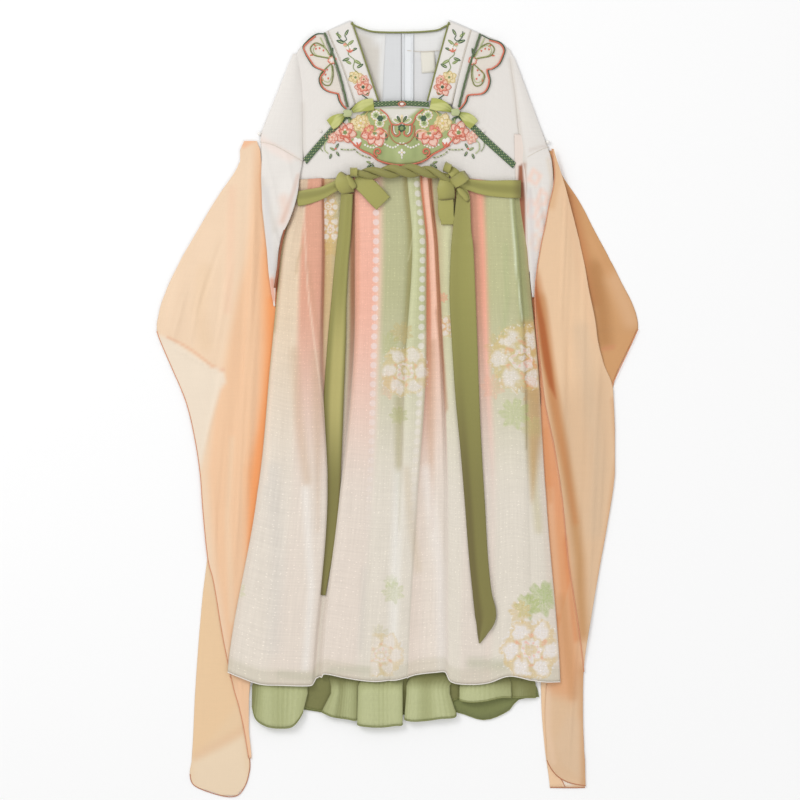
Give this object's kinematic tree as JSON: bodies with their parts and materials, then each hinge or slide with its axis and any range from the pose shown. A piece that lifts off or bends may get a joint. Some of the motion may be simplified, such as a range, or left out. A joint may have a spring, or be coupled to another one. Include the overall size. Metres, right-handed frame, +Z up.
{
  "type": "hanfu robe",
  "caption": "Chest-high hanfu robe laid flat on its back: banded collar, embroidered chest panel, twisted belt with long tails, striped pleated skirt and wide sheer sleeves.",
  "frame": {"origin": "on the surface that the robe lies on, under the middle of its bounding box", "axes": "+Z up out of the front of the robe as it lies on its back, +Y towards the neck, +X towards the viewer's right when the front is seen with the neck up"},
  "size_m": [0.8901, 1.4341, 0.0338],
  "materials": {
    "ivory_cloth": "matt woven cotton-like polyester",
    "zip_and_label": "matt woven tape",
    "sheer_trim": "embroidered organza",
    "peach_organza": "sheer crisp organza",
    "skirt_chiffon": "sheer chiffon, coral, sage and cream stripes",
    "green_underskirt": "fine matt lining cloth",
    "olive_satin": "soft satin",
    "lime_organza": "sheer ribbon",
    "sage_satin": "satin with embroidery",
    "dark_green_braid": "twisted rope and woven braid",
    "coral_cord": "twisted rope",
    "pearl": "lustrous round button"
  },
  "bodies": {
    "root": {"belt_left": "olive_satin", "belt_right": "olive_satin", "belt_strand_a": "olive_satin", "belt_strand_b": "olive_satin", "bodice_back_left": "ivory_cloth", "bodice_back_right": "ivory_cloth", "bow_knot_left": "lime_organza", "bow_knot_right": "lime_organza", "bow_left_loop_left": "lime_organza", "bow_left_loop_right": "lime_organza", "bow_loop_left": "olive_satin", "bow_loop_right": "olive_satin", "bow_right_loop_left": "lime_organza", "bow_right_loop_right": "lime_organza", "braid_left": "dark_green_braid", "braid_right": "dark_green_braid", "braid_top": "dark_green_braid", "carrier_left": "olive_satin", "carrier_right": "olive_satin", "chest_medallion": "sage_satin", "chest_panel": "ivory_cloth", "collar_left": "ivory_cloth", "collar_right": "ivory_cloth", "knot_left": "olive_satin", "knot_right": "olive_satin", "medallion_cord": "coral_cord", "neck_label": "zip_and_label", "neck_piping_back": "olive_satin", "neck_piping_left": "olive_satin", "neck_piping_right": "olive_satin", "pearl_left": "pearl", "pearl_right": "pearl", "shirt_front_left": "ivory_cloth", "shirt_front_right": "ivory_cloth", "shoulder_cord_left": "dark_green_braid", "shoulder_cord_right": "dark_green_braid", "skirt_back": "skirt_chiffon", "skirt_front": "skirt_chiffon", "sleeve_back_left": "ivory_cloth", "sleeve_back_right": "ivory_cloth", "sleeve_lower_left": "ivory_cloth", "sleeve_lower_right": "ivory_cloth", "sleeve_upper_left": "ivory_cloth", "sleeve_upper_right": "ivory_cloth", "tail_left": "olive_satin", "tail_right": "olive_satin", "underskirt_back": "green_underskirt", "underskirt_front": "green_underskirt", "wide_sleeve_left_back": "peach_organza", "wide_sleeve_left_front": "peach_organza", "wide_sleeve_right_back": "peach_organza", "wide_sleeve_right_front": "peach_organza", "wing_left": "sheer_trim", "wing_right": "sheer_trim", "zip_guard": "zip_and_label", "zip_tape": "zip_and_label"}
  },
  "joints": []
}
